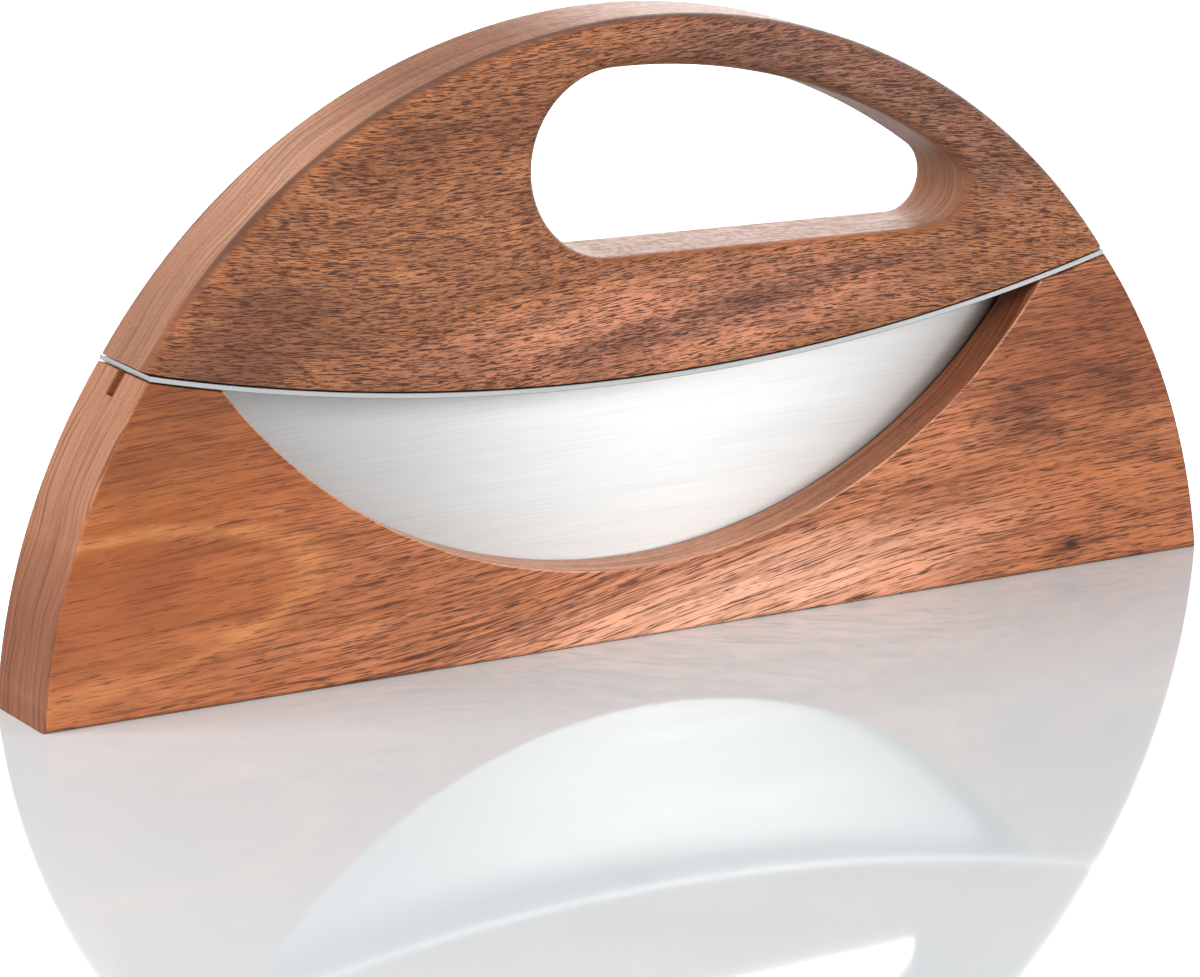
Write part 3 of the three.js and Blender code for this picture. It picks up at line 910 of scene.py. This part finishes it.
def make_steel_finish(name, brushed_lines, tone, line_length, roughness, relief):
    """Satin steel whose fine lines run along the piece."""
    material, recipe, shader = new_material(name)
    brushing = recipe.group(brushed_lines, Line_Length=line_length)
    light = tuple(1.05 * part for part in tone)
    deep = tuple(0.93 * part for part in tone)
    colour = recipe.mix(brushing["Lines"], deep, light)
    recipe.feed(shader.inputs["Base Color"], colour)
    rough = recipe.spread(brushing["Patches"], 0.3, 0.7, roughness - 0.015, roughness + 0.015)
    recipe.feed(shader.inputs["Roughness"], rough)
    bump = recipe.add("Bump", Strength=relief, Distance=0.02 * MM, Height=brushing["Lines"])
    recipe.feed(shader.inputs["Normal"], bump.outputs[0])
    shader.inputs["Metallic"].default_value = 1.0
    return material, recipe, shader


def make_blade_finish(brushed_lines):
    """Steel whose gloss is drawn out across the brushed lines."""
    material, recipe, shader = make_steel_finish(
        "brushed_blade_steel", brushed_lines, tone=(0.485, 0.481, 0.475), line_length=24.0, roughness=0.39,
        relief=0.006)
    across = recipe.add("Tangent", {"direction_type": "UV_MAP", "uv_map": "brushing"})
    recipe.feed(shader.inputs["Tangent"], across.outputs[0])
    shader.inputs["Anisotropic"].default_value = 0.94
    return material


# Table, light and camera

def seen_rays(recipe):
    """One for what is seen, directly, in gloss or through glass, and zero for light on the pieces."""
    ray = recipe.add("LightPath").outputs
    seen = recipe.maths("MAXIMUM", ray["Is Camera Ray"], ray["Is Glossy Ray"])
    return recipe.maths("MAXIMUM", seen, ray["Is Transmission Ray"])


def make_table():
    """A pale glossy table top that fades to the white of the room towards its edge."""
    material, recipe, shader = new_material("white_table")
    shader.inputs["Base Color"].default_value = TABLE_WHITE
    shader.inputs["Roughness"].default_value = TABLE_ROUGHNESS
    shader.inputs["Emission Strength"].default_value = TABLE_EDGE_GLOW
    from_middle = recipe.vector("LENGTH", recipe.add("TexCoord").outputs["Object"])
    faded = recipe.spread(from_middle, TABLE_FADE_START, TABLE_FADE_END)
    glow = recipe.maths("MULTIPLY", faded, seen_rays(recipe))
    recipe.feed(shader.inputs["Emission Color"], recipe.mix(glow, (0, 0, 0), (1, 1, 1)))
    bm = bmesh.new()
    bmesh.ops.create_circle(bm, cap_ends=True, segments=TABLE_STEPS, radius=TABLE_RADIUS)
    table = new_piece("white_table_top", bm)
    table.data.materials.append(material)
    return table


def make_world():
    """A white room that is seen and mirrored at full strength, and lights the pieces more weakly."""
    world = bpy.data.worlds.new("white_studio")
    world.use_nodes = True
    bpy.context.scene.world = world
    recipe = Recipe(world.node_tree)
    fill = world.node_tree.nodes["Background"]
    fill.inputs["Color"].default_value = (1, 1, 1, 1)
    fill.inputs["Strength"].default_value = ROOM_FILL
    backdrop = recipe.add("Background", Color=(1, 1, 1, 1), Strength=1.0)
    blend = recipe.add("MixShader", Fac=seen_rays(recipe))
    recipe.feed(blend.inputs[1], fill.outputs[0])
    recipe.feed(blend.inputs[2], backdrop.outputs[0])
    recipe.feed(world.node_tree.nodes["World Output"].inputs["Surface"], blend.outputs[0])


def make_softbox(name, place, aim, width, height, power, mirrored):
    """A soft lamp turned to a point; one that isn't mirrored shows in no gloss."""
    lamp = bpy.data.lights.new(name, "AREA")
    lamp.shape = "RECTANGLE"
    lamp.size = width
    lamp.size_y = height
    lamp.energy = power
    softbox = bpy.data.objects.new(name, lamp)
    softbox.location = place
    softbox.rotation_euler = (Vector(aim) - Vector(place)).to_track_quat("-Z", "Y").to_euler()
    softbox.visible_camera = False
    softbox.visible_glossy = mirrored
    bpy.context.scene.collection.objects.link(softbox)
    return softbox


def keep_light_off(lamp, piece):
    """Keeps a lamp from lighting one piece, so that the piece doesn't mirror it either."""
    unlit = bpy.data.collections.new(f"not_lit_by_{lamp.name}")
    unlit.objects.link(piece)
    unlit.collection_objects[0].light_linking.link_state = "EXCLUDE"
    lamp.light_linking.receiver_collection = unlit


def make_camera():
    back = Vector((
        -math.sin(CAMERA_YAW) * math.cos(CAMERA_PITCH),
        -math.cos(CAMERA_YAW) * math.cos(CAMERA_PITCH),
        math.sin(CAMERA_PITCH)))
    right = (-back).cross(Vector((0, 0, 1))).normalized()
    up = back.cross(right)
    turned_right = right * math.cos(CAMERA_ROLL) + up * math.sin(CAMERA_ROLL)
    turned_up = up * math.cos(CAMERA_ROLL) - right * math.sin(CAMERA_ROLL)
    lens = bpy.data.cameras.new("photo_camera")
    lens.sensor_width = SENSOR_WIDTH_MM
    lens.lens = FOCAL_LENGTH_PX / IMAGE_WIDTH_PX * SENSOR_WIDTH_MM
    camera = bpy.data.objects.new("photo_camera", lens)
    turn = Matrix((turned_right, turned_up, back)).transposed().to_4x4()
    camera.matrix_world = Matrix.Translation(CAMERA_TARGET + back * CAMERA_DISTANCE) @ turn
    bpy.context.scene.collection.objects.link(camera)
    bpy.context.scene.camera = camera


bpy.context.scene.view_settings.view_transform = "Standard"
make_camera()
make_world()
TABLE = make_table()
make_softbox(
    "key_softbox", place=(-1.1, -1.3, 1.3), aim=(0, 0, 0.06),
    width=1.2, height=1.2, power=33, mirrored=False)
make_softbox(
    "side_softbox", place=(-1.2, 0.25, 1.05), aim=(0, 0, 0.08),
    width=1.0, height=1.0, power=16, mirrored=False)
make_softbox(
    "back_softbox", place=(0.75, 1.35, 0.5), aim=(0, 0, 0.2),
    width=2.0, height=0.9, power=17, mirrored=True)
FRONT_STRIP = make_softbox(
    "front_strip", place=(0.548, -0.93, 0.32), aim=(0.03, 0, 0.2),
    width=0.1, height=0.6, power=3, mirrored=True)
make_softbox(
    "right_softbox", place=(1.4, -0.8, 1.0), aim=(0, 0, 0.06),
    width=0.8, height=0.8, power=5, mirrored=False)
keep_light_off(FRONT_STRIP, TABLE)

BOARD_GRAIN = make_board_grain()
SOFT_PATCH = make_soft_patch()
BRUSHED_LINES = make_brushed_lines()
make_stand(make_stand_finish(BOARD_GRAIN, SOFT_PATCH))
make_handle(make_handle_finish(BOARD_GRAIN, SOFT_PATCH))
PLATE_STEEL = make_steel_finish(
    "satin_plate_steel", BRUSHED_LINES, tone=(0.54, 0.54, 0.54), line_length=30.0,
    roughness=0.3, relief=0.01)[0]
make_plate(PLATE_STEEL)
make_blade(make_blade_finish(BRUSHED_LINES))
SCREW_STEEL = make_steel_finish(
    "plain_screw_steel", BRUSHED_LINES, tone=(0.6, 0.6, 0.61), line_length=4.0,
    roughness=0.35, relief=0.01)[0]
make_screws(SCREW_STEEL)
